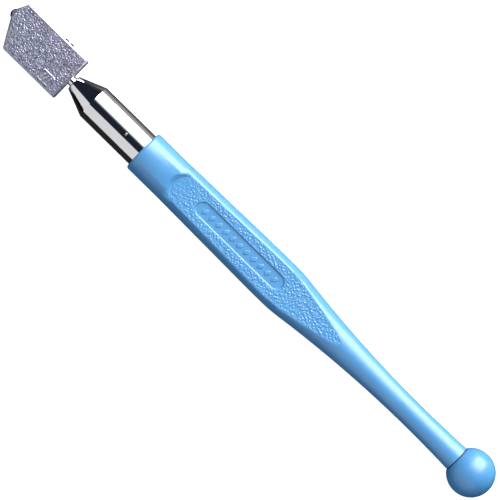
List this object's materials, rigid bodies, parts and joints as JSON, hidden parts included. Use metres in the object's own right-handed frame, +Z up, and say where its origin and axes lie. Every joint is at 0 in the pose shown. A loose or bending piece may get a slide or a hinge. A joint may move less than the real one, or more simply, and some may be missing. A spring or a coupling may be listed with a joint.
{
  "type": "glass cutter",
  "caption": "Pencil-shaped oil-fed glass cutter: small wheel in a wide swivelling sprung head, metal ferrule, hollow plastic handle and screw-in ball cap.",
  "frame": {"origin": "middle of the bounding box's base; the tool's axis runs 6.45 mm above it", "axes": "+X along the tool's axis towards the cutting wheel, +Z up and square to the head's broad faces, +Y away from the lock screw"},
  "size_m": [0.175, 0.0135, 0.0129],
  "materials": {
    "head_metal": "pebbled cast surface, satin",
    "carbide": "ground, dark",
    "steel": "ground",
    "screw_steel": "darkened",
    "plated_stem": "polished",
    "plated_ferrule": "mirror polished",
    "spring_steel": "drawn wire",
    "inner_brass": "turned",
    "seal_rubber": "matte",
    "blue_plastic": "moulded, satin, with pebbled grip panels",
    "blue_plastic_cap": "moulded, satin"
  },
  "bodies": {
    "tool_body": {"handle": "blue_plastic", "ferrule": "plated_ferrule", "ferrule_seal": "seal_rubber", "threaded_insert": "inner_brass", "spring_plug": "inner_brass", "plug_pin": "steel", "return_spring": "spring_steel"},
    "valve_stem": {"head_stem": "plated_stem", "valve_seal": "seal_rubber"},
    "cutting_head": {"head_plate": "head_metal", "wheel_axle": "steel"},
    "wheel": {"cutting_wheel": "carbide"},
    "lock_screw": {"head_lock_screw": "screw_steel"},
    "sealing_washer": {"cap_washer": "seal_rubber"},
    "filler_cap": {"ball_cap": "blue_plastic_cap", "cap_stud": "inner_brass"}
  },
  "joints": [
    {"name": "head_press", "type": "slide", "parent": "tool_body", "child": "valve_stem", "axis": [-1, 0, 0], "range_m": [0, 0.0008], "stiffness_N_per_m": 500, "springref_m": -0.002, "deforming": ["return_spring"]},
    {"name": "head_swivel", "type": "hinge", "parent": "valve_stem", "child": "cutting_head", "pos_m": [0.0695, 0, 0.00645], "axis": [1, 0, 0], "continuous": true},
    {"name": "wheel_spin", "type": "hinge", "parent": "cutting_head", "child": "wheel", "pos_m": [0.08593, -0.00213, 0.00645], "axis": [0, 0, 1], "continuous": true},
    {"name": "lock_screw_turn", "type": "hinge", "parent": "cutting_head", "child": "lock_screw", "pos_m": [0.071, -0.0065, 0.00645], "axis": [0, -1, 0], "range_deg": [0, 180]},
    {"name": "cap_travel", "type": "slide", "parent": "tool_body", "child": "sealing_washer", "axis": [-1, 0, 0], "range_m": [0, 0.00734]},
    {"name": "cap_turn", "type": "hinge", "parent": "sealing_washer", "child": "filler_cap", "pos_m": [-0.076, 0, 0.00645], "axis": [-1, 0, 0], "range_deg": [0, 3780]}
  ],
  "couplings": [
    {"joint": "cap_turn", "follows": "cap_travel", "rad_per_m": 8976}
  ]
}
